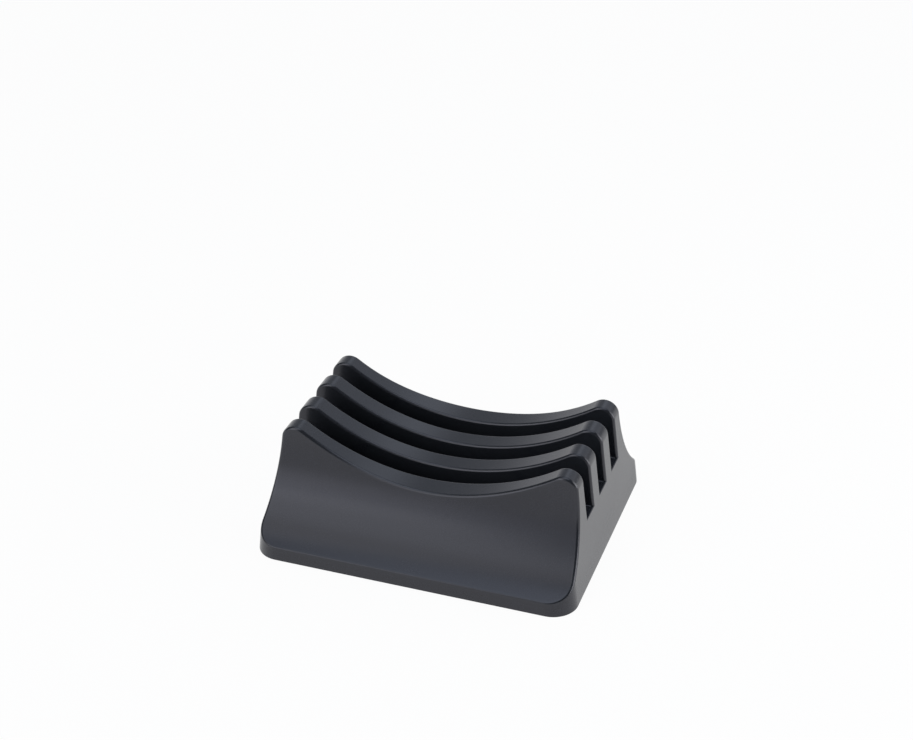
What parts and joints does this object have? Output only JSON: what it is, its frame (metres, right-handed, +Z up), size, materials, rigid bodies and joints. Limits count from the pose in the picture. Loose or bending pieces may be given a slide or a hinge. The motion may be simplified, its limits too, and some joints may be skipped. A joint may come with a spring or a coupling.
{
  "type": "pot lid rack",
  "caption": "Low moulded plastic rack that holds pot lids on edge in parallel open-ended slots, with concave front and back faces, leaning sides and a dipped top.",
  "frame": {"origin": "centre of the base outline, at table height", "axes": "+X along the slots to the right, +Y from the front to the back, +Z up"},
  "size_m": [0.204, 0.1664, 0.0736],
  "materials": {
    "charcoal_plastic": "satin, very fine moulded grain"
  },
  "bodies": {
    "root": {"rack": "charcoal_plastic"}
  },
  "joints": []
}
